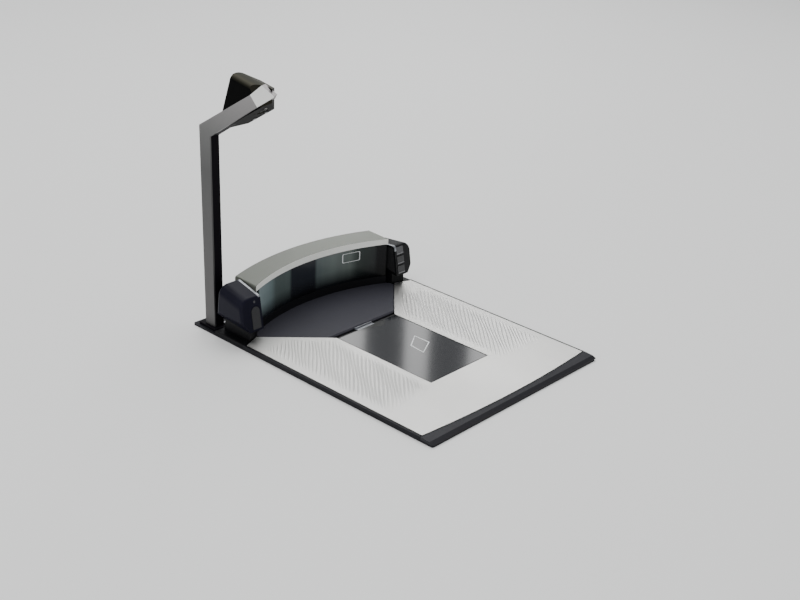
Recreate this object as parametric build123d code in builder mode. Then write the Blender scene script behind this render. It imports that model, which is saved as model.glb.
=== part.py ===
"""In-counter checkout scanner and scale with an overhead camera on a mast.

Millimetres. X runs across the unit, +Y from the operator's edge to the bonnet, +Z up.
The origin is the centre of the footprint at the underside of the feet.
"""
from build123d import *
import math
import os

os.makedirs("parts", exist_ok=True)

# ---- driving dimensions ----
WIDTH = 292.0  # rim, across the counter opening
LENGTH = 392.0  # rim, operator's edge to back edge
COUNTER = 102.0  # height of the counter plane above the feet
RIM_OVERHANG = 6.0  # how far the rim laps over the counter on each side
DECK = COUNTER + 6.0  # top of the fixed deck panel
PLATTER_TOP = COUNTER + 6.5

WALL = 3.0  # die-cast tub
SKIN = 2.5  # moulded covers
FOOT = 3.0  # rubber foot
RIM = 2.5  # rim flange
SEAT = 0.5  # how deep the tub's top edge sits in the rim
BOARD = 1.6  # circuit boards
GAP = 0.3  # clearance between bodies that move

FRONT = -LENGTH / 2
BACK = LENGTH / 2
SIDE = WIDTH / 2
TUB_X = SIDE - RIM_OVERHANG
TUB_Y = BACK - RIM_OVERHANG
FLANGE = COUNTER + RIM  # top of the rim's flange

# platter and its window
BUMPER_DEPTH = 18.0
BUMPER_BOW = 6.5  # how far the platter's front edge bows towards the operator
PLATTER_X = SIDE - 3.2
PLATTER_FRONT = FRONT + BUMPER_DEPTH
PLATTER_BACK = 100.0  # outer back corners
WING_X, WING_Y = 120.0, 109.0  # back ends of the notch round the deck
SHEET = 1.5  # platter's stainless sheet
WINDOW_X = 50.5  # half width of the platter's window cut-out
WINDOW_FRONT = -108.5
WINDOW_BACK = 41.5
NOTCH_Y = 43.4  # where the notch's slanted edges meet the window cut-out
GLASS = 4.0
GLASS_LOW = PLATTER_TOP - 0.3 - GLASS

# vertical window: an arc in plan, hollow side to the operator
ARC_R = 268.0
ARC_MID = 143.5
ARC_Y = ARC_MID - ARC_R  # centre of the arc
BONNET_X = 113.0
SILL = COUNTER + 16.0  # bottom of the vertical glass
LINTEL = COUNTER + 61.0  # top of the vertical glass
COVER_BACK_R = 334.0
COVER_BACK = 176.0
COVER_FRONT_ROUND, COVER_BACK_ROUND = 2.0, 4.0
COVER_TOP = Plane(origin=(0, ARC_MID, LINTEL + 8.2), z_dir=(0, -4.2, 100))
DECK_FRONT = 103.0  # front edge of the rim's back deck

# end caps and their keys
CAP_IN, CAP_OUT = 115.5, SIDE
CAP_TILT = math.degrees(math.atan2(7, 40.7))  # the front face leans back
KEY_X, KEY_W, KEY_H, KEY_PITCH = 124.8, 12.5, 10.4, 12.9
KEY_DEPTH, KEY_PROUD, KEY_TRAVEL = 6.0, 0.5, 0.8

# mast: a flat bar at the back left corner, bent over the platter
MAST_X = -138.0
MAST_W = 13.5
MAST_SKIN = 2.0  # light metal face on the outer side
ARM_TILT = 31.5
HEAD_INNER_X = -97.0


def arc_y(x, radius, centre=ARC_Y):
    """Where an arc about the window's centre crosses x."""
    return centre + math.sqrt(radius**2 - x**2)


def between_arcs(front_mid, y_in, back_mid, y_out, half_x):
    """A plan with an arc in front and an arc behind, closed at x = -half_x and half_x."""
    with BuildSketch() as plan:
        with BuildLine():
            ThreePointArc((-half_x, y_in), (0, front_mid), (half_x, y_in))
            Line((half_x, y_in), (half_x, y_out))
            ThreePointArc((half_x, y_out), (0, back_mid), (-half_x, y_out))
            Line((-half_x, y_out), (-half_x, y_in))
        make_face()
    return plan.sketch


def arc_band(r_in, r_out, half_x):
    """Plan of a strip along the window's arc."""
    y_in, y_out = arc_y(half_x, r_in), arc_y(half_x, r_out)
    return between_arcs(ARC_Y + r_in, y_in, ARC_Y + r_out, y_out, half_x)


def bonnet_plan(r_front, back, half_x):
    """Plan of the bonnet, from an arc of the window to its flatter back arc."""
    y_in = arc_y(half_x, r_front)
    y_out = arc_y(half_x, COVER_BACK_R, back - COVER_BACK_R)
    return between_arcs(ARC_Y + r_front, y_in, back, y_out, half_x)


def save(part, name):
    part.label = name
    export_step(part, f"parts/{name}.step")


def save_group(parts, name):
    """Writes like pieces as separate solids of one node."""
    save(Compound(children=list(parts)), name)


def save_pair(part, name):
    """Writes a right-hand piece and its mirror image at the left end, as one node."""
    save_group([part, mirror(part, about=Plane.YZ)], name)


# =============================== tub under the counter ===============================
BOSSES = [(-131.5, -160), (131.5, -160), (-108, 181.5), (108, 181.5)]  # rim screws
SCREW_R, SCREW_HOLE = 1.5, 1.6
SOCKETS_X, SOCKETS_Z, SOCKETS_LOW = 84.0, 18.0, 20.0
FEET_X, FEET_Y = 220.0, 320.0

with BuildPart() as lower_housing:
    with BuildSketch(Plane.XY.offset(FOOT)):
        RectangleRounded(2 * TUB_X, 2 * TUB_Y, 8)
    extrude(amount=COUNTER + SEAT - FOOT)
    with BuildSketch(Plane.XY.offset(FOOT + WALL)):
        RectangleRounded(2 * (TUB_X - WALL), 2 * (TUB_Y - WALL), 5)
    extrude(amount=COUNTER, mode=Mode.SUBTRACT)
    with BuildSketch(Plane.XY.offset(COUNTER - 20)):
        with Locations(*BOSSES):
            Circle(6)
    extrude(amount=20 + SEAT)
    with BuildSketch(Plane.XY.offset(COUNTER + SEAT)):
        with Locations(*BOSSES):
            Circle(SCREW_HOLE)
    extrude(amount=-16, mode=Mode.SUBTRACT)
    # opening for the sockets in the back wall
    with BuildSketch(Plane.XZ.offset(-TUB_Y - 1)):
        with Locations((0, SOCKETS_LOW + SOCKETS_Z / 2)):
            Rectangle(SOCKETS_X, SOCKETS_Z)
    extrude(amount=WALL + 2, mode=Mode.SUBTRACT)
    # cooling slots low in both side walls
    with BuildSketch(Plane.YZ.offset(-TUB_X - 1)):
        with Locations((0, 45)):
            with GridLocations(14, 1, 9, 1):
                SlotOverall(30, 4, rotation=90)
    extrude(amount=2 * TUB_X + 2, mode=Mode.SUBTRACT)
save(lower_housing.part, "lower_housing")

with BuildPart() as housing_feet:
    with BuildSketch():
        with GridLocations(FEET_X, FEET_Y, 2, 2):
            Circle(9)
    extrude(amount=FOOT)
save(housing_feet.part, "housing_feet")

# =============================== rim and bumper ===============================
UPSTAND_X = PLATTER_X + 0.6  # inner face of the walls beside the platter
RIM_HOLE_X, RIM_LEDGE = 136.0, 9.0
CABLE_R = 2.0
MAST_MID_X = MAST_X + MAST_SKIN + (MAST_W - MAST_SKIN) / 2
CABLE_Y = 174.0
DUCT_X, DUCT_FRONT, DUCT_BACK = 100.0, 124.0, 158.0  # opening under the bonnet

with BuildPart() as rim_frame:
    with BuildSketch(Plane.XY.offset(COUNTER)):
        RectangleRounded(WIDTH, LENGTH, 3)
        with Locations((0, (FRONT + RIM_LEDGE + DECK_FRONT) / 2)):
            RectangleRounded(2 * RIM_HOLE_X, DECK_FRONT - FRONT - RIM_LEDGE, 40, mode=Mode.SUBTRACT)
        with Locations((0, (DUCT_FRONT + DUCT_BACK) / 2)):
            RectangleRounded(2 * DUCT_X, DUCT_BACK - DUCT_FRONT, 4, mode=Mode.SUBTRACT)
        with Locations((MAST_MID_X, CABLE_Y)):
            Circle(CABLE_R + 0.8, mode=Mode.SUBTRACT)
        with Locations(*BOSSES):
            Circle(7)
            Circle(SCREW_HOLE, mode=Mode.SUBTRACT)
    extrude(amount=RIM)
    # seat for the tub's top edge
    with BuildSketch(Plane.XY.offset(COUNTER)):
        RectangleRounded(2 * TUB_X + 0.2, 2 * TUB_Y + 0.2, 8.1)
    extrude(amount=SEAT, mode=Mode.SUBTRACT)
    with BuildSketch(Plane.XY.offset(FLANGE)):
        with GridLocations(SIDE + UPSTAND_X, 1, 2, 1):
            with Locations((0, (PLATTER_FRONT + DECK_FRONT) / 2)):
                Rectangle(SIDE - UPSTAND_X, DECK_FRONT - PLATTER_FRONT)
    extrude(amount=3.5)
save(rim_frame.part, "rim_frame")

with BuildPart() as front_bumper:
    with BuildSketch(Plane.YZ.offset(-SIDE)):
        with BuildLine():
            edge = PLATTER_FRONT + 2
            Polyline((FRONT, FLANGE), (FRONT, COUNTER + 3.4), (FRONT + 5, COUNTER + 5.2))
            Polyline((FRONT + 5, COUNTER + 5.2), (edge, COUNTER + 6.2), (edge, FLANGE), (FRONT, FLANGE))
        make_face()
    extrude(amount=WIDTH)
    # the back edge follows the bowed front edge of the platter
    with BuildSketch(Plane.XY.offset(COUNTER)):
        with BuildLine():
            back = PLATTER_FRONT - GAP - 0.3
            ThreePointArc((-SIDE, back), (0, back - BUMPER_BOW), (SIDE, back))
            Polyline((SIDE, back), (SIDE, 0), (-SIDE, 0), (-SIDE, back))
        make_face()
    extrude(amount=20, mode=Mode.SUBTRACT)
save(front_bumper.part, "front_bumper")

with BuildPart() as rim_screws:
    with BuildSketch(Plane.XY.offset(FLANGE)):
        with Locations(*BOSSES):
            Circle(2.8)
    extrude(amount=1.4)
    with BuildSketch(Plane.XY.offset(FLANGE)):
        with Locations(*BOSSES):
            Circle(SCREW_R)
    extrude(amount=-14)
save(rim_screws.part, "rim_screws")

# =============================== scale: load cell, spider, pads ===============================
CELL_X, CELL_Y, CELL_H = 130.0, 30.0, 22.0
CELL_MID_Y, CELL_LOW = -150.0, 44.0
CELL_END = 26.0  # clamped length at each end
SPIDER_LOW, SPIDER_TOP = 93.0, 99.0
SPIDER_X, SPIDER_BAR = 114.0, 18.0
SPIDER_FRONT, SPIDER_BACK = -162.0, 88.0
PADS_Y = (SPIDER_FRONT + 16, 58.0)
CELL_BOLT_X = (CELL_X - CELL_END) / 2

with BuildPart() as cell_pedestal:
    with BuildSketch(Plane.XY.offset(FOOT + WALL)):
        with Locations((-CELL_BOLT_X, CELL_MID_Y)):
            Rectangle(CELL_END + 14, CELL_Y + 12)
    extrude(amount=4)
    with BuildSketch(Plane.XY.offset(FOOT + WALL)):
        with Locations((-CELL_BOLT_X, CELL_MID_Y)):
            Rectangle(CELL_END, CELL_Y)
    extrude(amount=CELL_LOW - FOOT - WALL)
save(cell_pedestal.part, "cell_pedestal")

with BuildPart() as load_cell:
    with BuildSketch(Plane.XZ.offset(-CELL_MID_Y - CELL_Y / 2)):
        with Locations((0, CELL_LOW + CELL_H / 2)):
            Rectangle(CELL_X, CELL_H)
            with GridLocations(18, 1, 2, 1):
                Circle(8, mode=Mode.SUBTRACT)
            Rectangle(18, 6, mode=Mode.SUBTRACT)
    extrude(amount=CELL_Y)
    fillet(load_cell.edges().filter_by(Axis.Z), 1.5)
save(load_cell.part, "load_cell")

with BuildPart() as weigh_spider:
    with BuildSketch(Plane.XY.offset(SPIDER_LOW)):
        with Locations((0, (SPIDER_FRONT + SPIDER_BACK) / 2)):
            RectangleRounded(2 * SPIDER_X, SPIDER_BACK - SPIDER_FRONT, 10)
        with Locations((0, (SPIDER_FRONT + 30 + SPIDER_BACK - 13) / 2)):
            inner_y = SPIDER_BACK - 13 - SPIDER_FRONT - 30
            RectangleRounded(2 * (SPIDER_X - SPIDER_BAR), inner_y, 6, mode=Mode.SUBTRACT)
    extrude(amount=SPIDER_TOP - SPIDER_LOW)
    # stem down to the free end of the load cell
    with BuildSketch(Plane.XY.offset(CELL_LOW + CELL_H)):
        with Locations((CELL_BOLT_X, CELL_MID_Y)):
            Rectangle(CELL_END, CELL_Y - 6)
    extrude(amount=SPIDER_LOW - CELL_LOW - CELL_H)
    # stiffening ribs under the long bars
    with BuildSketch(Plane.XY.offset(SPIDER_LOW)):
        with Locations((0, -40)):
            with GridLocations(2 * SPIDER_X - SPIDER_BAR, 1, 2, 1):
                Rectangle(4, 200)
    extrude(amount=-7)
save(weigh_spider.part, "weigh_spider")

with BuildPart() as spider_pads:
    with BuildSketch(Plane.XY.offset(SPIDER_TOP)):
        with Locations(*[(x, y) for x in (-105, 105) for y in PADS_Y]):
            Circle(8)
    extrude(amount=PLATTER_TOP - SHEET - GAP - SPIDER_TOP)
    fillet(spider_pads.edges().group_by(Axis.Z)[-1], 1.5)
save(spider_pads.part, "spider_pads")

with BuildPart() as weigh_board:
    with BuildSketch(Plane.XY.offset(FOOT + WALL)):
        with Locations((40, CELL_MID_Y)):
            with GridLocations(56, 22, 2, 2):
                Circle(2.5)
    extrude(amount=6)
    with BuildSketch(Plane.XY.offset(FOOT + WALL + 6)):
        with Locations((40, CELL_MID_Y)):
            RectangleRounded(64, 30, 2)
    extrude(amount=BOARD)
    with BuildSketch(Plane.XY.offset(FOOT + WALL + 6 + BOARD)):
        with Locations((30, CELL_MID_Y), (56, CELL_MID_Y + 3)):
            Rectangle(12, 12)
    extrude(amount=2.5)
save(weigh_board.part, "weigh_board")

# =============================== optics under the platter ===============================
BOX_X, BOX_FRONT, BOX_BACK = 62.0, -112.0, 70.0
BOX_LOW, BOX_TOP = 26.0, 91.0
BOX_MID_Y, BOX_LONG = (BOX_FRONT + BOX_BACK) / 2, BOX_BACK - BOX_FRONT
LENS_Z = 48.0
LEG_X, LEG_Y = 40.0, 60.0

with BuildPart() as optics_box:
    with BuildSketch(Plane.XY.offset(BOX_LOW)):
        with Locations((0, BOX_MID_Y)):
            RectangleRounded(2 * BOX_X, BOX_LONG, 4)
    extrude(amount=BOX_TOP - BOX_LOW)
    with BuildSketch(Plane.XY.offset(BOX_LOW + SKIN)):
        with Locations((0, BOX_MID_Y)):
            Rectangle(2 * (BOX_X - SKIN), BOX_LONG - 2 * SKIN)
    extrude(amount=BOX_TOP - BOX_LOW - 2 * SKIN, mode=Mode.SUBTRACT)
    with BuildSketch(Plane.XY.offset(BOX_TOP - SKIN)):
        with Locations((0, (BOX_FRONT + 6 + 42) / 2)):
            Rectangle(104, 42 - BOX_FRONT - 6)
    extrude(amount=SKIN, mode=Mode.SUBTRACT)
    # legs down to the floor of the tub
    with BuildSketch(Plane.XY.offset(FOOT + WALL)):
        with Locations((0, BOX_MID_Y)):
            with GridLocations(2 * BOX_X - 10, BOX_LONG - 10, 2, 2):
                Circle(4)
    extrude(amount=BOX_LOW - FOOT - WALL)
save(optics_box.part, "optics_box")

with BuildPart() as lower_window:
    with BuildSketch(Plane.XY.offset(BOX_TOP)):
        with Locations((0, -32)):
            RectangleRounded(114, 156, 3)
    extrude(amount=1.7)
save(lower_window.part, "lower_window")

# a mirror across the box turns the view of the lower imager up through the window
with BuildPart() as fold_mirror:
    with BuildSketch(Plane.YZ.offset(-48)):
        with BuildLine():
            Polyline((-104, 34), (-52, 84), (-54, 86), (-106, 36), (-104, 34))
        make_face()
    extrude(amount=96)
save(fold_mirror.part, "fold_mirror")

with BuildPart() as lower_imager:
    with BuildSketch(Plane.XZ.offset(-50)):
        with Locations((0, LENS_Z)):
            RectangleRounded(46, 30, 2)
    extrude(amount=BOARD)
    with BuildSketch(Plane.XZ.offset(-50 + BOARD)):
        with Locations((0, LENS_Z)):
            Rectangle(20, 20)
    extrude(amount=8)
    with BuildSketch(Plane.XZ.offset(-50 + BOARD + 8)):
        with Locations((0, LENS_Z)):
            Circle(8)
            Circle(5.5, mode=Mode.SUBTRACT)
    extrude(amount=12)
save(lower_imager.part, "lower_imager")

with BuildPart() as lower_lens:
    with BuildSketch(Plane.XZ.offset(-50 + BOARD + 8)):
        with Locations((0, LENS_Z)):
            Circle(5.5)
    extrude(amount=8)

with BuildPart() as lower_led_boards:
    with BuildSketch(Plane.XY.offset(74)):
        with Locations((0, -20)):
            with GridLocations(108, 1, 2, 1):
                Rectangle(8, 110)
    extrude(amount=BOARD)
    with BuildSketch(Plane.XY.offset(74 + BOARD)):
        with Locations((0, -20)):
            with GridLocations(108, 17, 2, 6):
                Rectangle(5, 5)
    extrude(amount=1.6)
save(lower_led_boards.part, "lower_led_boards")

BOARD_LOW = FOOT + WALL + 6
with BuildPart() as board_standoffs:
    with BuildSketch(Plane.XY.offset(FOOT + WALL)):
        with Locations((0, -20)):
            with GridLocations(196, 130, 2, 2):
                Circle(3.5)
    extrude(amount=6)
save(board_standoffs.part, "board_standoffs")

with BuildPart() as main_board:
    with BuildSketch(Plane.XY.offset(BOARD_LOW)):
        with Locations((0, -20)):
            RectangleRounded(210, 144, 3)
        # clear of the optics legs
        with Locations((0, BOX_MID_Y)):
            with GridLocations(2 * BOX_X - 10, BOX_LONG - 10, 2, 2):
                Circle(5, mode=Mode.SUBTRACT)
    extrude(amount=BOARD)
save(main_board.part, "main_board")

with BuildPart() as board_chips:
    with BuildSketch(Plane.XY.offset(BOARD_LOW + BOARD)):
        with Locations((-20, -20), (25, -5)):
            Rectangle(26, 26)
        with Locations((20, -50), (40, -50), (-30, 20), (-10, 20)):
            Rectangle(12, 9)
    extrude(amount=3)
    with BuildSketch(Plane.XY.offset(BOARD_LOW + BOARD)):
        with Locations((84, -20), (84, 5), (-84, -30)):
            Rectangle(16, 18)
        with Locations((-84, 10), (-84, 28)):
            Circle(6)
    extrude(amount=16)
save(board_chips.part, "board_chips")

with BuildPart() as socket_block:
    with BuildSketch(Plane.XZ.offset(-TUB_Y + 1)):
        with Locations((0, SOCKETS_LOW + SOCKETS_Z / 2)):
            Rectangle(SOCKETS_X - 0.6, SOCKETS_Z - 0.6)
    extrude(amount=16)
    with BuildSketch(Plane.XZ.offset(-TUB_Y + 1)):
        with Locations((0, SOCKETS_LOW + SOCKETS_Z / 2)):
            with Locations((-28, 0), (-6, 0), (28, 0)):
                Rectangle(16, 12)
            with Locations((11, 0)):
                Circle(4)
    extrude(amount=12, mode=Mode.SUBTRACT)
    # foot on the floor of the tub
    with BuildSketch(Plane.XY.offset(FOOT + WALL)):
        with Locations((0, TUB_Y - 11)):
            Rectangle(SOCKETS_X - 10, 10)
    extrude(amount=SOCKETS_LOW - FOOT - WALL + 0.3)
save(socket_block.part, "socket_block")

# =============================== platter (lifts off) ===============================
with BuildPart() as platter:
    with BuildSketch(Plane.XY.offset(FLANGE + 0.6)):
        with BuildLine():
            ThreePointArc(
                (-PLATTER_X, PLATTER_FRONT),
                (0, PLATTER_FRONT - BUMPER_BOW),
                (PLATTER_X, PLATTER_FRONT),
            )
            Polyline(
                (PLATTER_X, PLATTER_FRONT),
                (PLATTER_X, PLATTER_BACK),
                (WING_X, WING_Y),
                (WINDOW_X, NOTCH_Y),
                (WINDOW_X, WINDOW_FRONT),
                (-WINDOW_X, WINDOW_FRONT),
                (-WINDOW_X, NOTCH_Y),
                (-WING_X, WING_Y),
                (-PLATTER_X, PLATTER_BACK),
                (-PLATTER_X, PLATTER_FRONT),
            )
        make_face()
    extrude(amount=PLATTER_TOP - FLANGE - 0.6)
    # only the sheet and the turned-down edges stay
    with BuildSketch(Plane.XY.offset(FLANGE)):
        with BuildLine():
            hem_x, hem_y = PLATTER_X - SHEET, PLATTER_FRONT + SHEET
            ThreePointArc((-hem_x, hem_y), (0, hem_y - BUMPER_BOW), (hem_x, hem_y))
            Polyline((hem_x, hem_y), (hem_x, BACK), (-hem_x, BACK), (-hem_x, hem_y))
        make_face()
    extrude(amount=PLATTER_TOP - SHEET - FLANGE, mode=Mode.SUBTRACT)
save(platter.part, "platter")

with BuildPart() as window_gasket:
    with BuildSketch(Plane.XY.offset(GLASS_LOW)):
        with Locations((0, (WINDOW_FRONT + WINDOW_BACK) / 2)):
            Rectangle(2 * WINDOW_X, WINDOW_BACK - WINDOW_FRONT)
        with Locations((0, (WINDOW_FRONT + WINDOW_BACK) / 2 + 1)):
            Rectangle(2 * WINDOW_X - 2, WINDOW_BACK - WINDOW_FRONT, mode=Mode.SUBTRACT)
    extrude(amount=GLASS)
save(window_gasket.part, "window_gasket")

with BuildPart() as platter_window:
    with BuildSketch(Plane.XY.offset(GLASS_LOW)):
        with Locations((0, (WINDOW_FRONT + WINDOW_BACK + 1) / 2)):
            Rectangle(2 * WINDOW_X - 2, WINDOW_BACK - WINDOW_FRONT - 1)
    extrude(amount=GLASS)
    chamfer(platter_window.edges().group_by(Axis.Z)[-1], 0.3)
save(platter_window.part, "platter_window")

CARRIER_X, CARRIER_FRONT, CARRIER_BACK = 58.0, -116.0, 49.4
CARRIER_LOW = GLASS_LOW - 2.2
TAB_X, TAB_PIN_Y, TAB_PIN_R = 29.0, 44.2, 0.8
TAB_PIN_Z = GLASS_LOW + 1.4
EAR = 1.8

with BuildPart() as window_carrier:
    with BuildSketch(Plane.XY.offset(CARRIER_LOW)):
        with Locations((0, (CARRIER_FRONT + CARRIER_BACK) / 2)):
            Rectangle(2 * CARRIER_X, CARRIER_BACK - CARRIER_FRONT)
        with Locations((0, (WINDOW_FRONT + WINDOW_BACK) / 2)):
            Rectangle(2 * WINDOW_X - 12, WINDOW_BACK - WINDOW_FRONT - 12, mode=Mode.SUBTRACT)
    extrude(amount=GLASS_LOW - CARRIER_LOW)
    # raised outside the glass, up to the sheet
    with BuildSketch(Plane.XY.offset(GLASS_LOW)):
        with Locations((0, (CARRIER_FRONT + NOTCH_Y) / 2)):
            Rectangle(2 * CARRIER_X, NOTCH_Y - CARRIER_FRONT)
        with Locations((0, WINDOW_FRONT + 100)):
            Rectangle(2 * WINDOW_X, 200, mode=Mode.SUBTRACT)
    extrude(amount=PLATTER_TOP - SHEET - GLASS_LOW)
    # ears for the lift tab's pin
    with BuildSketch(Plane.YZ.offset(-TAB_X / 2 - EAR - GAP)):
        with Locations((TAB_PIN_Y, TAB_PIN_Z)):
            Circle(1.9)
            with Locations((0, -1)):
                Rectangle(3.8, 2)
            Circle(TAB_PIN_R, mode=Mode.SUBTRACT)
    extrude(amount=EAR)
    with BuildSketch(Plane.YZ.offset(TAB_X / 2 + GAP)):
        with Locations((TAB_PIN_Y, TAB_PIN_Z)):
            Circle(1.9)
            with Locations((0, -1)):
                Rectangle(3.8, 2)
            Circle(TAB_PIN_R, mode=Mode.SUBTRACT)
    extrude(amount=EAR)
save(window_carrier.part, "window_carrier")

with BuildPart() as tab_pin:
    with BuildSketch(Plane.YZ.offset(-TAB_X / 2 - EAR - GAP)):
        with Locations((TAB_PIN_Y, TAB_PIN_Z)):
            Circle(TAB_PIN_R)
    extrude(amount=TAB_X + 2 * (EAR + GAP))
save(tab_pin.part, "tab_pin")

with BuildPart() as lift_tab:
    with BuildSketch(Plane.YZ.offset(-TAB_X / 2)):
        with Locations((TAB_PIN_Y, TAB_PIN_Z)):
            Circle(1.3)
            with Locations((2.5, 0.3)):
                Rectangle(5, 1.0)
            with Locations((4.5, 1.1)):
                Rectangle(1.0, 2.6)
            Circle(TAB_PIN_R + 0.06, mode=Mode.SUBTRACT)
    extrude(amount=TAB_X)
save(lift_tab.part, "lift_tab")

# =============================== fixed deck and bonnet ===============================
PANEL_FRONT = 50.5
TRIM_R = ARC_R - 1.0

with BuildPart() as deck_panel:
    with BuildSketch(Plane.XY.offset(FLANGE)):
        with BuildLine():
            ends_y = arc_y(BONNET_X, TRIM_R)
            Polyline((-BONNET_X, ends_y), (-116.3, 113), (-116.3, 107), (-56.6, PANEL_FRONT))
            Line((-56.6, PANEL_FRONT), (56.6, PANEL_FRONT))
            Polyline((56.6, PANEL_FRONT), (116.3, 107), (116.3, 113), (BONNET_X, ends_y))
            ThreePointArc((BONNET_X, ends_y), (0, ARC_Y + TRIM_R), (-BONNET_X, ends_y))
        make_face()
    extrude(amount=DECK - FLANGE)
    # a bevel down to the finger slot
    chamfer(deck_panel.edges().group_by(Axis.Z)[-1].sort_by(Axis.Y)[0], 1.6)
    # posts on the optics box
    with BuildSketch(Plane.XY.offset(BOX_TOP)):
        with GridLocations(2 * LEG_X, 1, 2, 1):
            with Locations((0, LEG_Y)):
                Circle(4)
    extrude(amount=FLANGE - BOX_TOP)
save(deck_panel.part, "deck_panel")

with BuildPart() as window_sill:
    with BuildSketch(Plane.XY.offset(FLANGE)):
        add(arc_band(TRIM_R, ARC_R + 3, BONNET_X - 0.5))
    extrude(amount=SILL - FLANGE)
save(window_sill.part, "window_sill")

with BuildPart() as vertical_window:
    with BuildSketch(Plane.XY.offset(SILL)):
        add(arc_band(ARC_R, ARC_R + 3, BONNET_X - 0.5))
    extrude(amount=LINTEL - SILL)
save(vertical_window.part, "vertical_window")

with BuildPart() as window_mask:
    with BuildSketch(Plane.XY.offset(FLANGE)):
        add(arc_band(ARC_R + 3, ARC_R + 5, BONNET_X - 0.5))
    extrude(amount=LINTEL - FLANGE)
    with BuildSketch(Plane.XZ.offset(-ARC_MID - 20)):
        with Locations((0, (SILL + LINTEL) / 2 - 0.5)):
            Rectangle(206, LINTEL - SILL - 5)
    extrude(amount=80, mode=Mode.SUBTRACT)
save(window_mask.part, "window_mask")

with BuildPart() as bonnet_shell:
    with BuildSketch(Plane.XY.offset(FLANGE)):
        add(bonnet_plan(ARC_R + 5, COVER_BACK - 0.8, BONNET_X - 0.5))
        inner = bonnet_plan(ARC_R + 4, COVER_BACK - 0.8 - SKIN, BONNET_X - 0.5 - SKIN)
        add(inner, mode=Mode.SUBTRACT)
    extrude(amount=LINTEL - FLANGE)
save(bonnet_shell.part, "bonnet_shell")

with BuildPart() as bonnet_cover:
    with BuildSketch(Plane.XY.offset(LINTEL)):
        add(bonnet_plan(ARC_R - 1.2, COVER_BACK, BONNET_X + 0.3))
    extrude(amount=14)
    # the top rises a little towards the back
    split(bisect_by=COVER_TOP, keep=Keep.BOTTOM)
    top = bonnet_cover.faces().sort_by(Axis.Z)[-1]
    fillet(top.edges().sort_by(Axis.Y)[-1], COVER_BACK_ROUND)
    crease = bonnet_cover.faces().sort_by(Axis.Z)[-1].edges().filter_by(Axis.Y, reverse=True)
    fillet(crease.sort_by(Axis.Y)[0], COVER_FRONT_ROUND)
    with BuildSketch(Plane.XY.offset(LINTEL)):
        add(bonnet_plan(ARC_R + 2, COVER_BACK - SKIN, BONNET_X + 0.3 - SKIN))
    extrude(amount=4, mode=Mode.SUBTRACT)
save(bonnet_cover.part, "bonnet_cover")

# =============================== inside the bonnet ===============================
IMAGER_X, IMAGER_Z = 36.0, COUNTER + 38.0
IMAGER_Y = 163.0
SPEAKER_X, SPEAKER_R = 82.0, 14.0

with BuildPart() as vertical_imagers:
    with BuildSketch(Plane.XZ.offset(-IMAGER_Y)):
        with Locations((-IMAGER_X, IMAGER_Z), (IMAGER_X, IMAGER_Z)):
            RectangleRounded(34, 28, 2)
    extrude(amount=BOARD)
    with BuildSketch(Plane.XZ.offset(BOARD - IMAGER_Y)):
        with Locations((-IMAGER_X, IMAGER_Z), (IMAGER_X, IMAGER_Z)):
            Circle(7.5)
            Circle(5, mode=Mode.SUBTRACT)
    extrude(amount=9)
    # brackets down to the deck
    with BuildSketch(Plane.XY.offset(FLANGE)):
        with Locations((-IMAGER_X, IMAGER_Y + 1), (IMAGER_X, IMAGER_Y + 1)):
            Rectangle(24, 2)
    extrude(amount=IMAGER_Z - FLANGE)
save(vertical_imagers.part, "vertical_imagers")

with BuildPart() as vertical_lenses:
    with BuildSketch(Plane.XZ.offset(BOARD - IMAGER_Y)):
        with Locations((-IMAGER_X, IMAGER_Z), (IMAGER_X, IMAGER_Z)):
            Circle(5)
    extrude(amount=6)
save_group([lower_lens.part, vertical_lenses.part], "imager_lenses")

with BuildPart() as window_led_board:
    with BuildSketch(Plane.XZ.offset(BOARD - 156)):
        with Locations((0, LINTEL - 9)):
            Rectangle(150, 10)
    extrude(amount=BOARD)
    with BuildSketch(Plane.XZ.offset(2 * BOARD - 156)):
        with Locations((0, LINTEL - 9)):
            with GridLocations(14, 1, 10, 1):
                Rectangle(5, 5)
    extrude(amount=1.6)
    with BuildSketch(Plane.XY.offset(FLANGE)):
        with GridLocations(110, 1, 2, 1):
            with Locations((0, 156 + 1)):
                Rectangle(6, 5.2)
    extrude(amount=LINTEL - 4 - FLANGE)
save(window_led_board.part, "window_led_board")

with BuildPart() as speaker:
    with BuildSketch(Plane.XZ.offset(-153)):
        with Locations((SPEAKER_X, COUNTER + 32)):
            Circle(SPEAKER_R)
    extrude(amount=-4)
    with BuildSketch(Plane.XZ.offset(-147)):
        with Locations((SPEAKER_X, COUNTER + 32)):
            Circle(8)
    extrude(amount=-6)
    with BuildSketch(Plane.XY.offset(FLANGE)):
        with Locations((SPEAKER_X, 155)):
            Rectangle(16, 3)
    extrude(amount=16)
save(speaker.part, "speaker")

# =============================== end caps ===============================
FACE_MID_Z = COUNTER + 39.85
FACE = Plane(
    origin=(0, 104.5, FACE_MID_Z),
    x_dir=(1, 0, 0),
    z_dir=(0, -math.cos(math.radians(CAP_TILT)), math.sin(math.radians(CAP_TILT))),
)
CAP_LOW_FRONT, CAP_TOP_FRONT = (101.0, COUNTER + 19.5), (108.0, COUNTER + 60.2)
CAP_TOP_BACK, CAP_LOW_BACK = (147.5, COUNTER + 69.5), (151.5, COUNTER + 29.0)
RIGHT_TOP_BACK = (147.5, COUNTER + 56.0)  # the right cap falls away behind its keys
CAP_ROUND = 13.0
CAP_EDGE = 4.0
CAP_WAIST = 136.5  # how far out the cap reaches at its lower edge
CAP_SHOULDER = COUNTER + 33.0  # height where the side starts to draw in
STRIP_W, STRIP_T = 3.0, 1.2
STRIP_LOW, RIGHT_STRIP_LOW = COUNTER + 58.6, COUNTER + 53.0
KEY_ROWS = [KEY_PITCH, 0, -KEY_PITCH]
KEY_FLANGE = 1.2
KEY_BOARD = 12.0  # depth of the key boards behind the face
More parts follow.
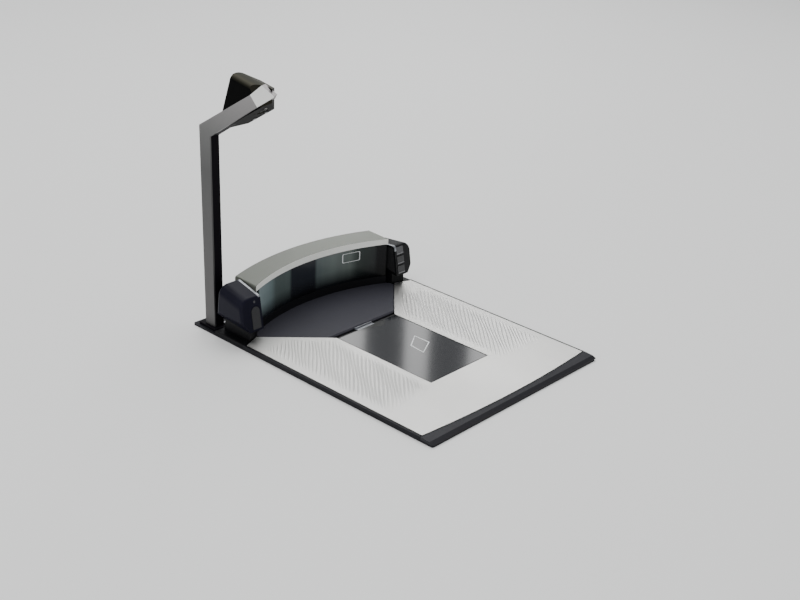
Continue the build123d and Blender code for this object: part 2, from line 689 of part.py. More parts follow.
CALL_X, CALL_LOW, CALL_SPRING, CALL_R = -125.0, -18.0, 3.0, 6.2


def cap_form(inset, top_back=CAP_TOP_BACK):
    """A right-hand cap's outer form, or its hollow when inset by the skin."""
    with BuildPart() as form:
        with BuildSketch(Plane.YZ.offset(CAP_IN)):
            with BuildLine():
                Polyline(CAP_LOW_FRONT, CAP_TOP_FRONT, top_back, CAP_LOW_BACK, CAP_LOW_FRONT)
            make_face()
            if inset:
                offset(amount=-inset)
        extrude(amount=CAP_OUT - CAP_IN)
        low, high = COUNTER + 15, COUNTER + 75
        with BuildSketch(Plane.XZ.offset(-90)):
            with BuildLine():
                Polyline(
                    (CAP_IN, low),
                    (CAP_WAIST - 3 - inset, low),
                    (CAP_OUT - inset, CAP_SHOULDER),
                    (CAP_OUT - inset, high - inset),
                    (CAP_IN, high - inset),
                    (CAP_IN, low),
                )
            make_face()
        extrude(amount=-80, mode=Mode.INTERSECT)
        top_outer = form.faces().sort_by(Axis.X)[-1].edges().sort_by(Axis.Z)[-1]
        fillet(top_outer, CAP_ROUND - inset)
        ridge = form.edges().filter_by(Axis.X).sort_by(Axis.Z)[-2:]
        fillet(ridge, CAP_EDGE - inset)
    return form.part


def key_outline(grow=0.0):
    """Outline of one key of the right cap."""
    with BuildSketch() as outline:
        RectangleRounded(KEY_W + 2 * grow, KEY_H + 2 * grow, 1 + grow)
    return outline.sketch


def call_outline(grow=0.0):
    """Outline of the arched key of the left cap: straight sides and a round top."""
    half = CALL_R + grow
    with BuildSketch() as outline:
        with BuildLine():
            Polyline((half, CALL_SPRING), (half, CALL_LOW - grow), (-half, CALL_LOW - grow), (-half, CALL_SPRING))
            ThreePointArc((-half, CALL_SPRING), (0, CALL_SPRING + half), (half, CALL_SPRING))
        make_face()
    return outline.sketch


def trim_strip(top_back, low):
    """Bright strip let into a right-hand cap along its inner top edge."""
    with BuildPart() as strip:
        add(cap_form(0, top_back))
        add(cap_form(STRIP_T, top_back), mode=Mode.SUBTRACT)
        with BuildSketch(Plane.XY.offset(low)):
            with Locations((CAP_IN, 125)):
                Rectangle(STRIP_W, 80, align=(Align.MIN, Align.CENTER))
        extrude(amount=30, mode=Mode.INTERSECT)
    return strip.part


def cap_shell(top_back, strip):
    """A right-hand cap's skin, with room for its strip."""
    with BuildPart() as shell:
        add(cap_form(0, top_back))
        add(cap_form(SKIN, top_back), mode=Mode.SUBTRACT)
        add(strip, mode=Mode.SUBTRACT)
    return shell.part


right_strip = trim_strip(RIGHT_TOP_BACK, RIGHT_STRIP_LOW)
left_strip = trim_strip(CAP_TOP_BACK, STRIP_LOW)
save_group([right_strip, mirror(left_strip, about=Plane.YZ)], "trim_strips")

with BuildPart() as end_cap_right:
    add(cap_shell(RIGHT_TOP_BACK, right_strip))
    with BuildSketch(FACE):
        for row in KEY_ROWS:
            with Locations((KEY_X, row)):
                add(key_outline(GAP))
    extrude(amount=-SKIN - 1.5, mode=Mode.SUBTRACT)
save(end_cap_right.part, "end_cap_right")

CALL_LENS = (-125.0, 15.2)  # lamp above the call key

with BuildPart() as end_cap_left:
    add(mirror(cap_shell(CAP_TOP_BACK, left_strip), about=Plane.YZ))
    with BuildSketch(FACE):
        with Locations((CALL_X, 0)):
            add(call_outline(GAP))
        with Locations(CALL_LENS):
            Circle(1.6)
    extrude(amount=-SKIN - 1.5, mode=Mode.SUBTRACT)
save(end_cap_left.part, "end_cap_left")

# keys: a plate through the skin, a flange behind it that keeps it in, and a stem to its switch
KEY_REST = SKIN + GAP
STEM = 4.0
STEM_RISE = 2.4  # the stem stands above the middle of its key


def right_key(row, proud, name):
    with BuildPart() as key:
        with BuildSketch(FACE.offset(proud)):
            with Locations((KEY_X, row)):
                add(key_outline())
        extrude(amount=-proud - KEY_REST)
        with BuildSketch(FACE.offset(-KEY_REST)):
            with Locations((KEY_X, row)):
                Rectangle(KEY_W + 2, KEY_H - 4.4)
        extrude(amount=-KEY_FLANGE)
        with BuildSketch(FACE.offset(-KEY_REST)):
            with Locations((KEY_X, row + STEM_RISE)):
                Rectangle(2 * STEM, STEM)
        extrude(amount=KEY_REST + proud - KEY_DEPTH)
    save(key.part, name)


right_key(KEY_ROWS[0], 0.2, "status_lens")
right_key(KEY_ROWS[1], KEY_PROUD, "zero_key")
right_key(KEY_ROWS[2], KEY_PROUD, "tone_key")

with BuildPart() as call_key:
    with BuildSketch(FACE.offset(KEY_PROUD)):
        with Locations((CALL_X, 0)):
            add(call_outline())
    extrude(amount=-KEY_PROUD - KEY_REST)
    with BuildSketch(FACE.offset(-KEY_REST)):
        with Locations((CALL_X, -1)):
            Rectangle(2 * CALL_R + 2, 14)
    extrude(amount=-KEY_FLANGE)
    with BuildSketch(FACE.offset(-KEY_REST)):
        with Locations((CALL_X, STEM_RISE)):
            Rectangle(2 * STEM, STEM)
    extrude(amount=KEY_REST + KEY_PROUD - KEY_DEPTH)
save(call_key.part, "call_key")

with BuildPart() as call_lens:
    with BuildSketch(FACE):
        with Locations(CALL_LENS):
            Circle(1.5)
    extrude(amount=-KEY_DEPTH)
save(call_lens.part, "call_lens")

SWITCH_TOP = KEY_PROUD - KEY_DEPTH - KEY_TRAVEL - 2 * GAP
BOARD_LOW, BOARD_HIGH = -12.5, 17.5
POST_X, POST_ROW = 8.2, 6.4


def key_board(x, rows):
    """A switch board behind the keys, on two posts from the cap's front skin."""
    with BuildPart() as board:
        with BuildSketch(FACE.offset(-KEY_BOARD)):
            with Locations((x, (BOARD_LOW + BOARD_HIGH) / 2)):
                Rectangle(2 * POST_X + 2, BOARD_HIGH - BOARD_LOW)
        extrude(amount=-BOARD)
        with BuildSketch(FACE.offset(-KEY_BOARD)):
            for row in rows:
                with Locations((x, row + STEM_RISE)):
                    Rectangle(STEM, STEM)
        extrude(amount=KEY_BOARD + SWITCH_TOP)
        with BuildSketch(FACE.offset(-KEY_BOARD)):
            with Locations((x - POST_X, POST_ROW), (x + POST_X, POST_ROW)):
                Rectangle(1.6, 3)
        extrude(amount=KEY_BOARD - SKIN)
    return board.part


save_group([key_board(KEY_X, KEY_ROWS[1:]), key_board(CALL_X, [0])], "key_boards")

# foot of the cap, standing on the rim's back deck behind the platter
BASE_IN = CAP_IN + 1.5

with BuildPart() as cap_base:
    with BuildSketch(Plane.YZ.offset(BASE_IN)):
        with BuildLine():
            Polyline((104, FLANGE), (104.5, 121.4), (148.6, 128.8), (152.5, FLANGE), (104, FLANGE))
        make_face()
    extrude(amount=16.5)
    with BuildSketch(Plane.XY.offset(FLANGE)):
        with Locations((BASE_IN, 128.5)):
            Rectangle(28.5, 53, align=(Align.MIN, Align.CENTER))
    extrude(amount=3.5)
    fillet(cap_base.edges().filter_by(Axis.Y).group_by(Axis.X)[-1].sort_by(Axis.Z)[-1], 1.2)
    # clear of the platter's slanted back edge
    with BuildSketch(Plane.XY.offset(FLANGE)):
        with BuildLine():
            Polyline(
                (BASE_IN - 3, 90),
                (BASE_IN - 3, WING_Y + 2.8),
                (WING_X, WING_Y + 1.5),
                (PLATTER_X - 2, DECK_FRONT + 0.2),
                (SIDE + 4, DECK_FRONT + 0.2),
                (SIDE + 4, 90),
                (BASE_IN - 3, 90),
            )
        make_face()
    extrude(amount=22, mode=Mode.SUBTRACT)
    # hollow from above
    with BuildSketch(Plane.XY.offset(FLANGE + 3.5)):
        with Locations((BASE_IN + 2, 131)):
            Rectangle(12, 34, align=(Align.MIN, Align.CENTER))
    extrude(amount=30, mode=Mode.SUBTRACT)
    add(cap_form(0), mode=Mode.SUBTRACT)
save_pair(cap_base.part, "cap_bases")

# =============================== mast ===============================
POLE_FRONT, POLE_BACK = 164.3, 181.4
MITRE_BACK, MITRE_INNER = (186.0, 355.8), (167.5, 345.4)
CREASE_TOP, CREASE_LOW = (97.4, 409.8), (85.8, 398.6)  # where the metal face turns inwards
FACET_TURN = 32.0
FACET_THICK = 4.5
FACET_TOP, FACET_TIP, FACET_LOW = (17.6, 20.1), (0.8, 25.5), (-1.8, 21.2)  # in the facet's plane
BODY_TOP, BODY_TIP, BODY_LOW = (87.0, 422.0), (73.2, 414.2), (73.8, 410.6)
MAST_END = MAST_X + MAST_W
MAST_WALL = 2.0
CABLE_OUT = (126.0, 382.3)  # where the cable leaves the arm for the head
HEAD_OUT_X = MAST_X + MAST_SKIN - 0.4

crease_slope = math.atan2(CREASE_TOP[1] - CREASE_LOW[1], CREASE_TOP[0] - CREASE_LOW[0])
facet_turn = math.radians(FACET_TURN)
FACET = Plane(
    origin=(MAST_X, CREASE_LOW[0], CREASE_LOW[1]),
    x_dir=(0, math.cos(crease_slope), math.sin(crease_slope)),
    z_dir=(
        math.cos(facet_turn),
        math.sin(facet_turn) * math.sin(crease_slope),
        -math.sin(facet_turn) * math.cos(crease_slope),
    ),
)
crease_length = math.hypot(CREASE_TOP[0] - CREASE_LOW[0], CREASE_TOP[1] - CREASE_LOW[1])
end_run = Vector(FACET_TOP[1] - FACET_TIP[1], FACET_TIP[0] - FACET_TOP[0])
FACET_END = Axis(FACET.origin, FACET.x_dir * -end_run.X + FACET.y_dir * -end_run.Y)


def flat_bar(*end_points, shrink=0.0):
    """Side view of the pole and the arm, with the given points at the arm's end."""
    corners = [(POLE_BACK, FLANGE + 3), MITRE_BACK, CREASE_TOP, *end_points, CREASE_LOW, MITRE_INNER]
    with BuildSketch() as bar:
        with BuildLine():
            Polyline(*corners, (POLE_FRONT, FLANGE + 3), close=True)
        make_face()
        if shrink:
            offset(amount=-shrink)
    return bar.sketch


with BuildPart() as mast_cover:
    with BuildSketch(Plane.YZ.offset(MAST_X)):
        add(flat_bar())
    extrude(amount=MAST_SKIN)
    with BuildSketch(FACET):
        with BuildLine():
            Polyline((0, 0), (crease_length, 0), FACET_TOP, FACET_TIP, FACET_LOW, close=True)
        make_face()
    extrude(amount=FACET_THICK)
    end_edge = mast_cover.faces().sort_by(FACET_END)[-1].edges().sort_by(Axis(FACET.origin, -FACET.z_dir))[-1]
    chamfer(end_edge, FACET_THICK - 1)
save(mast_cover.part, "mast_cover")

with BuildPart() as mast_body:
    with BuildSketch(Plane.YZ.offset(MAST_X + MAST_SKIN)):
        add(flat_bar(BODY_TOP, BODY_TIP, BODY_LOW))
    extrude(amount=MAST_W - MAST_SKIN)
    split(bisect_by=FACET.offset(FACET_THICK), keep=Keep.TOP)
    with BuildSketch(Plane.YZ.offset(MAST_X + MAST_SKIN + MAST_WALL)):
        add(flat_bar(shrink=2.2))
    extrude(amount=MAST_W - MAST_SKIN - 2 * MAST_WALL, mode=Mode.SUBTRACT)
    # the cable comes in from the tub and goes out into the head
    with BuildSketch(Plane.XY.offset(FLANGE)):
        with Locations((MAST_MID_X, CABLE_Y)):
            Circle(CABLE_R + 0.5)
    extrude(amount=12, mode=Mode.SUBTRACT)
    with BuildSketch(Plane.YZ.offset(MAST_END - MAST_WALL - 1)):
        with Locations(CABLE_OUT):
            Circle(CABLE_R + 1.4)
    extrude(amount=MAST_WALL + 2, mode=Mode.SUBTRACT)
save(mast_body.part, "mast_body")

# plate at the foot of the mast, screwed to the back deck
FOOT_PLATE_X, FOOT_PLATE_Y = (-142.0, -117.0), (158.0, 190.0)
MAST_SCREWS = [(-121.2, 163.5), (-121.2, 184.5)]
MAST_SCREW_R = 1.5

with BuildPart() as mast_foot:
    with BuildSketch(Plane.XY.offset(FLANGE)):
        with BuildLine():
            Polyline(
                (FOOT_PLATE_X[0], FOOT_PLATE_Y[0]),
                (FOOT_PLATE_X[1], FOOT_PLATE_Y[0]),
                (FOOT_PLATE_X[1], FOOT_PLATE_Y[1]),
                (FOOT_PLATE_X[0], FOOT_PLATE_Y[1]),
                close=True,
            )
        make_face()
        fillet(vertices(), 2)
        with Locations((MAST_MID_X, CABLE_Y)):
            Circle(CABLE_R + 0.5, mode=Mode.SUBTRACT)
        with Locations(*MAST_SCREWS):
            Circle(MAST_SCREW_R + 0.1, mode=Mode.SUBTRACT)
    extrude(amount=3)
    fillet(mast_foot.faces().sort_by(Axis.Z)[-1].outer_wire().edges(), 0.8)
save(mast_foot.part, "mast_foot")

with BuildPart() as mast_screws:
    with BuildSketch(Plane.XY.offset(FLANGE + 3)):
        with Locations(*MAST_SCREWS):
            Circle(2.8)
    extrude(amount=1.8)
    with BuildSketch(Plane.XY.offset(FLANGE + 3)):
        with Locations(*MAST_SCREWS):
            Circle(MAST_SCREW_R)
    extrude(amount=-3)
    with BuildSketch(Plane.XY.offset(FLANGE + 4.8)):
        with Locations(*MAST_SCREWS):
            RegularPolygon(1.4, 6)
    extrude(amount=-1.1, mode=Mode.SUBTRACT)
save(mast_screws.part, "mast_screws")

# =============================== camera head ===============================
HEAD_X = (HEAD_OUT_X, HEAD_INNER_X)
HEAD_REAR, HEAD_PEAK, HEAD_BROW = (146.0, 381.0), (127.0, 436.0), (95.0, 429.5)
HEAD_NOSE, HEAD_CHIN, HEAD_SOLE, HEAD_HEEL = (68.0, 414.0), (66.5, 410.0), (69.5, 406.5), (148.0, 358.5)
HEAD_TOP = Plane(origin=(-121, 130, 425.5), z_dir=(0.5, -0.16, 1))  # falls away from the mast
HEAD_SKIN = 2.0
HEAD_ROUND = 9.0
CORNER_CUT = (-135.0, 66.0)  # the front corner is cut off at 45 degrees from here


def head_form(inset):
    """The head's outer form, or its hollow when inset by the skin."""
    with BuildPart() as form:
        with BuildSketch(Plane.YZ.offset(HEAD_X[0] + inset)):
            with BuildLine():
                Polyline(
                    HEAD_REAR, HEAD_PEAK, HEAD_BROW, HEAD_NOSE, HEAD_CHIN, HEAD_SOLE, HEAD_HEEL, close=True
                )
            make_face()
            if inset:
                offset(amount=-inset, kind=Kind.INTERSECTION)
        extrude(amount=HEAD_X[1] - HEAD_X[0] - 2 * inset)
        split(bisect_by=HEAD_TOP.offset(-inset), keep=Keep.BOTTOM)
        roof = form.faces().sort_by(Axis(HEAD_TOP.origin, HEAD_TOP.z_dir))[-1].edges()
        fillet([roof.sort_by(Axis.X)[0], roof.sort_by(Axis.Y)[-1]], HEAD_ROUND - inset)
        with BuildSketch(Plane.XY.offset(HEAD_HEEL[1] - 10)):
            with BuildLine():
                Polyline(
                    (HEAD_X[0] - 5, CORNER_CUT[1] - 10),
                    (CORNER_CUT[0], CORNER_CUT[1] + inset * 1.4),
                    (CORNER_CUT[0] + 50, CORNER_CUT[1] + 50 + inset * 1.4),
                    (CORNER_CUT[0] + 50, 170),
                    (HEAD_X[0] - 5, 170),
                    close=True,
                )
            make_face()
        extrude(amount=100, mode=Mode.INTERSECT)
        split(bisect_by=FACET.offset(inset), keep=Keep.TOP)
    return form.part


SOLE_DIR = math.atan2(HEAD_HEEL[1] - HEAD_SOLE[1], HEAD_HEEL[0] - HEAD_SOLE[0])
WINDOW_AT = (-112.5, 106.0)
SOLE = Plane(
    origin=(
        WINDOW_AT[0],
        WINDOW_AT[1],
        HEAD_SOLE[1] + (WINDOW_AT[1] - HEAD_SOLE[0]) * math.tan(SOLE_DIR),
    ),
    x_dir=(1, 0, 0),
    z_dir=(0, math.sin(SOLE_DIR), -math.cos(SOLE_DIR)),
)
LOOK_TILT = 12.0  # the camera looks inwards from the mast's corner
OPENING_X = (-122.0, -100.5)
OPENING_Y = (90.0, 138.0)
BASE_THICK = 2.5
CAMERA_UP = 17.0  # height of the camera's board above the window
CAMERA_SIDE = 15.0
BARREL_R, LENS_R = 5.5, 4.0
BARREL_END = 5.0  # the barrel stops this far above the window
ARM_ROW = 6.9
HEAD_WINDOW_R = 7.5
LIGHT_AT, LIGHT_SIZE, LIGHT_UP = (-118.6, 93.4), (6.0, 4.0), 7.0
POSTS = [(-102.6, 111.5), (-102.6, 131.0)]
HEAD_SCREW_R = 1.1


def on_sole(x, y, depth=0.0):
    """A plane parallel to the head's underside at the given place, facing down."""
    origin = Vector(x, y, HEAD_SOLE[1] + (y - HEAD_SOLE[0]) * math.tan(SOLE_DIR))
    return Plane(origin=origin - SOLE.z_dir * depth, x_dir=(1, 0, 0), z_dir=SOLE.z_dir)


def facet_corner(u, v):
    """Side view of a point of the facet."""
    place = FACET.from_local_coords((u, v, 0))
    return (place.Y, place.Z)


def sole_cover(grow, above, depth):
    """The cover in the head's underside, or a cutter for its opening."""
    with BuildPart() as cover:
        with BuildSketch(SOLE.offset(above)):
            Rectangle(90, 180)
        extrude(amount=-above - depth)
        with BuildSketch(Plane.XY.offset(HEAD_HEEL[1] - 10)):
            with BuildLine():
                Polyline(
                    (OPENING_X[0], OPENING_Y[0]),
                    (OPENING_X[0] + 7.5, OPENING_Y[0]),
                    (OPENING_X[1], OPENING_Y[0] + 14),
                    (OPENING_X[1], OPENING_Y[1]),
                    (OPENING_X[0], OPENING_Y[1]),
                    close=True,
                )
            make_face()
            if grow:
                offset(amount=grow, kind=Kind.INTERSECTION)
        extrude(amount=100, mode=Mode.INTERSECT)
    return cover.part


with BuildPart() as mast_room:
    with BuildSketch(Plane.YZ.offset(MAST_X - 1)):
        corners = [facet_corner(*FACET_TOP), facet_corner(*FACET_TIP), facet_corner(*FACET_LOW)]
        add(flat_bar(*corners, shrink=-0.1))
    extrude(amount=MAST_W + 1.1)

with BuildPart() as head_housing:
    add(head_form(0))
    add(head_form(HEAD_SKIN), mode=Mode.SUBTRACT)
    add(mast_room.part, mode=Mode.SUBTRACT)
    add(mast_cover.part, mode=Mode.SUBTRACT)
    add(sole_cover(0.15, 2, HEAD_SKIN + 1), mode=Mode.SUBTRACT)
    # screw posts along the inner wall
    for x, y in POSTS:
        with BuildSketch(on_sole(x, y, BASE_THICK + 0.05)):
            Circle(2.8)
            with Locations((2.3, 0)):
                Rectangle(4.6, 4)
            Circle(HEAD_SCREW_R, mode=Mode.SUBTRACT)
        extrude(amount=-9)
save(head_housing.part, "head_housing")

with BuildPart() as head_base:
    add(sole_cover(0, 0, BASE_THICK))
    with BuildSketch(SOLE):
        Circle(HEAD_WINDOW_R - 1)
    extrude(amount=-BASE_THICK, mode=Mode.SUBTRACT)
    with BuildSketch(SOLE.offset(-BASE_THICK)):
        Circle(HEAD_WINDOW_R)
    extrude(amount=1.5, mode=Mode.SUBTRACT)
    with BuildSketch(on_sole(*LIGHT_AT)):
        RectangleRounded(*LIGHT_SIZE, 1.5)
    extrude(amount=-BASE_THICK, mode=Mode.SUBTRACT)
    for x, y in POSTS:
        with BuildSketch(on_sole(x, y)):
            Circle(HEAD_SCREW_R + 0.1)
        extrude(amount=-BASE_THICK, mode=Mode.SUBTRACT)
save(head_base.part, "head_base")

with BuildPart() as head_window:
    with BuildSketch(SOLE.offset(-BASE_THICK)):
        Circle(HEAD_WINDOW_R)
    extrude(amount=1.5)
save(head_window.part, "head_window")

with BuildPart() as head_light_lens:
    with BuildSketch(on_sole(*LIGHT_AT, 0.4)):
        RectangleRounded(*LIGHT_SIZE, 1.5)
    extrude(amount=0.4 - BASE_THICK)
save(head_light_lens.part, "head_light_lens")

with BuildPart() as head_led_board:
    with BuildSketch(on_sole(*LIGHT_AT, LIGHT_UP)):
        Rectangle(7.8, 8.6)
    extrude(amount=-BOARD)
    with BuildSketch(on_sole(*LIGHT_AT, LIGHT_UP)):
        with GridLocations(3.4, 1, 2, 1):
            Rectangle(2.4, 2.4)
    extrude(amount=1)
    with BuildSketch(on_sole(*LIGHT_AT, LIGHT_UP)):
        with GridLocations(6.6, 7.4, 2, 2):
            Rectangle(1.2, 1.2)
    extrude(amount=LIGHT_UP - BASE_THICK)
save(head_led_board.part, "head_led_board")

look_x = Vector(math.cos(math.radians(LOOK_TILT)), 0, 0) - SOLE.z_dir * math.sin(math.radians(LOOK_TILT))
look_z = Vector(math.sin(math.radians(LOOK_TILT)), 0, 0) + SOLE.z_dir * math.cos(math.radians(LOOK_TILT))
LOOK = Plane(origin=SOLE.origin, x_dir=look_x, z_dir=look_z)

with BuildPart() as camera_board:
    with BuildSketch(LOOK.offset(-CAMERA_UP)):
        Rectangle(CAMERA_SIDE, CAMERA_SIDE)
    extrude(amount=-BOARD)
    with BuildSketch(LOOK.offset(-CAMERA_UP - BOARD)):
        with Locations((0, 3)):
            Rectangle(8, 4)
    extrude(amount=-2)
save(camera_board.part, "camera_board")

with BuildPart() as camera_barrel:
    with BuildSketch(LOOK.offset(-CAMERA_UP)):
        Circle(BARREL_R)
        Circle(LENS_R, mode=Mode.SUBTRACT)
    extrude(amount=CAMERA_UP - BARREL_END)
    with BuildSketch(LOOK.offset(-CAMERA_UP)):
        Rectangle(9, CAMERA_SIDE)
        Circle(LENS_R, mode=Mode.SUBTRACT)
    extrude(amount=1.2)
    # arms down to the cover
    for side in (-1, 1):
        with BuildSketch(SOLE.offset(-BASE_THICK)):
            with Locations((-4, side * ARM_ROW)):
                Rectangle(8, 1.8)
        extrude(amount=-25)
    split(bisect_by=LOOK.offset(-CAMERA_UP), keep=Keep.TOP)
save(camera_barrel.part, "camera_barrel")

with BuildPart() as camera_lens:
    with BuildSketch(LOOK.offset(-BARREL_END - 1)):
        Circle(LENS_R)
    extrude(amount=-6)
save(camera_lens.part, "camera_lens")

with BuildPart() as head_screws:
    for x, y in POSTS:
        with BuildSketch(on_sole(x, y)):
            Circle(1.9)
        extrude(amount=1)
        with BuildSketch(on_sole(x, y)):
            Circle(HEAD_SCREW_R)
        extrude(amount=-8)
        with BuildSketch(on_sole(x, y, -1)):
            Rectangle(2.4, 0.5)
            Rectangle(0.5, 2.4)
        extrude(amount=-0.6, mode=Mode.SUBTRACT)
save(head_screws.part, "head_screws")

# plug block inside the head, on a post from the cover
PLUG_X = (-121.0, -111.0)
with BuildPart() as head_plug:
    with BuildSketch(Plane.YZ.offset(PLUG_X[0])):
        with Locations(CABLE_OUT):
            Rectangle(6, 6)
    extrude(amount=PLUG_X[1] - PLUG_X[0])
    with BuildSketch(on_sole(sum(PLUG_X) / 2, 124.0, BASE_THICK)):
        Rectangle(5, 4)
    extrude(amount=-7)

# =============================== cable through the mast ===============================
PLUG_TOP = 88.0

with BuildPart() as mast_cable:
    with BuildLine() as route:
        FilletPolyline(
            (MAST_MID_X, CABLE_Y, PLUG_TOP),
            (MAST_MID_X, 176.7, 350.6),
            (MAST_MID_X, *CABLE_OUT),
            (PLUG_X[0], *CABLE_OUT),
            radius=[12, 6],
        )
    with BuildSketch(Plane(origin=route.line @ 0, z_dir=route.line % 0)):
        Circle(CABLE_R)
    sweep()
cable_length = route.wires()[0].length
print("mast cable", round(cable_length), "mm, volume over section times length:")
print(round(mast_cable.part.volume / (math.pi * CABLE_R**2 * cable_length), 4))
save(mast_cable.part, "mast_cable")

with BuildPart() as mast_plug:
    with BuildSketch(Plane.XY.offset(PLUG_TOP - 0.05)):
        with Locations((MAST_MID_X, CABLE_Y)):
            RectangleRounded(9, 7, 1)
    extrude(amount=-16)
save_group([head_plug.part, mast_plug.part], "cable_plugs")
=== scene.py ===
"""In-counter checkout scanner with an overhead camera: materials, fine detail, light and camera."""
import math

import bmesh
import bpy
from mathutils import Matrix, Vector


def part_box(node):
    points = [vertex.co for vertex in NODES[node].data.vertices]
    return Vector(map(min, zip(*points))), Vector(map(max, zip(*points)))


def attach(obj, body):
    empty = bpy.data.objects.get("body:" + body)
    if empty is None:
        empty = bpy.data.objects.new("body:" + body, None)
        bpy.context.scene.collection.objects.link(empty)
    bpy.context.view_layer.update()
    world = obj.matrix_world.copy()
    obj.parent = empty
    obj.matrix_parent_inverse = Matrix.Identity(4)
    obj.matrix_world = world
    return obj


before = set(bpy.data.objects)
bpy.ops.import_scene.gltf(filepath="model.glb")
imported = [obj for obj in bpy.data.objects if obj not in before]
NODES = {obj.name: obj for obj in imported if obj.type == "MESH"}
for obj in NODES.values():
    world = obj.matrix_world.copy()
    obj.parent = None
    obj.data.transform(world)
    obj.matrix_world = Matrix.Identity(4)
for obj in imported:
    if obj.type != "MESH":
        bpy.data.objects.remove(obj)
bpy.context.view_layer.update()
MM = 0.001
MICRON = 0.000001

COUNTER_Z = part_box("rim_frame")[0].z
sheet_low, sheet_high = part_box("platter")
PLATTER_TOP = sheet_high.z
glass_low, glass_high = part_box("platter_window")
upright_low, upright_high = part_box("vertical_window")
PANEL_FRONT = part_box("deck_panel")[0].y
bumper_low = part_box("front_bumper")[0]
mast_low, mast_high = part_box("mast_cover")


# ------------------------------------------------------------------ camera
def set_camera():
    """The photograph's angle: azimuth, elevation and a slight roll of the camera."""
    azimuth, elevation, roll = math.radians(-48.14), math.radians(24.69), math.radians(2.8)
    location = Vector((-1.00095, -0.90685, 0.77945))
    back = Vector(
        (
            math.sin(azimuth) * math.cos(elevation),
            -math.cos(azimuth) * math.cos(elevation),
            math.sin(elevation),
        )
    )
    right = Vector((math.cos(azimuth), math.sin(azimuth), 0))
    up = back.cross(right)
    rolled_right = right * math.cos(roll) + up * math.sin(roll)
    rolled_up = up * math.cos(roll) - right * math.sin(roll)
    data = bpy.data.cameras.new("camera")
    data.lens = 56.32
    data.sensor_width = 36
    data.clip_start = 0.05
    camera = bpy.data.objects.new("camera", data)
    bpy.context.scene.collection.objects.link(camera)
    turn = Matrix((rolled_right, rolled_up, back)).transposed()
    camera.matrix_world = Matrix.Translation(location) @ turn.to_4x4()
    bpy.context.scene.camera = camera
    return camera


camera = set_camera()


# ------------------------------------------------------------------ helpers
def node_tree(name):
    """A new material with its tree, shader and object coordinates."""
    material = bpy.data.materials.new(name)
    material.use_nodes = True
    tree = material.node_tree
    shader = tree.nodes["Principled BSDF"]
    coords = tree.nodes.new("ShaderNodeTexCoord").outputs["Object"]
    return material, tree, shader, coords


def noise_at(tree, coords, scale, detail=3.0, stretch=(1, 1, 1)):
    """A noise value between 0 and 1 over the object's own space."""
    mapping = tree.nodes.new("ShaderNodeMapping")
    mapping.inputs["Scale"].default_value = stretch
    texture = tree.nodes.new("ShaderNodeTexNoise")
    texture.inputs["Scale"].default_value = scale
    texture.inputs["Detail"].default_value = detail
    tree.links.new(coords, mapping.inputs["Vector"])
    tree.links.new(mapping.outputs["Vector"], texture.inputs["Vector"])
    return texture.outputs["Fac"]


def ramp(tree, value, stops):
    """Colour stops along a value; each stop is (position, colour)."""
    node = tree.nodes.new("ShaderNodeValToRGB")
    elements = node.color_ramp.elements
    for index, (position, colour) in enumerate(stops):
        element = elements[index] if index < 2 else elements.new(position)
        element.position = position
        element.color = (*colour, 1)
    tree.links.new(value, node.inputs["Fac"])
    return node.outputs["Color"]


def between(tree, value, low, high):
    """Maps a value from 0..1 to low..high."""
    node = tree.nodes.new("ShaderNodeMapRange")
    node.inputs["To Min"].default_value = low
    node.inputs["To Max"].default_value = high
    tree.links.new(value, node.inputs["Value"])
    return node.outputs["Result"]


def bump(tree, shader, value, distance):
    """Relief from a value, with its depth in metres."""
    node = tree.nodes.new("ShaderNodeBump")
    node.inputs["Strength"].default_value = 1.0
    node.inputs["Distance"].default_value = distance
    tree.links.new(value, node.inputs["Height"])
    tree.links.new(node.outputs["Normal"], shader.inputs["Normal"])


def shaded(colour, factor):
    """A lighter or darker tone of a colour."""
    return tuple(min(1.0, c * factor) for c in colour)


def surface(name, colour, rough, metallic=0.0, vary=0.12, cloud=18.0, grain=900.0,
            depth=40 * MICRON, specular=0.5):
    """A moulded, painted or cast surface: cloudy colour, fine grain in roughness and relief."""
    material, tree, shader, coords = node_tree(name)
    clouds = noise_at(tree, coords, cloud, 4.0)
    tone = ramp(tree, clouds, [(0.3, shaded(colour, 1 - vary)), (0.7, shaded(colour, 1 + vary))])
    tree.links.new(tone, shader.inputs["Base Color"])
    fine = noise_at(tree, coords, grain, 2.0)
    tree.links.new(between(tree, fine, rough * 0.85, min(1.0, rough * 1.15)), shader.inputs["Roughness"])
    bump(tree, shader, fine, depth)
    shader.inputs["Metallic"].default_value = metallic
    shader.inputs["Specular IOR Level"].default_value = specular
    return material


def give(material, *names):
    """Puts one material on every face of the CAD nodes."""
    for name in names:
        mesh = NODES[name].data
        mesh.materials.clear()
        mesh.materials.append(material)


def soften(width, *names, bright=None):
    """Rounds a CAD node's sharp edges a little, as moulding and pressing leave them; a bright material, if
    given, paints a highlight on the rounded edges.
    """
    for name in names:
        modifier = NODES[name].modifiers.new("edge", "BEVEL")
        modifier.width = width
        modifier.segments = 2
        modifier.limit_method = "ANGLE"
        modifier.angle_limit = math.radians(40)
        if bright:
            NODES[name].data.materials.append(bright)
            modifier.material = len(NODES[name].data.materials) - 1


def new_piece(name, mesh, material, body):
    """A visible piece that moves with a body, in a material slot."""
    piece = bpy.data.objects.new(name, mesh)
    bpy.context.scene.collection.objects.link(piece)
    mesh.materials.append(material)
    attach(piece, body)


# ------------------------------------------------------------------ materials
KIT = {}


def paint(name, colour, rough, metallic=0.0, **more):
    """Makes a surface and keeps it under its name."""
    KIT[name] = surface(name, colour, rough, metallic, **more)


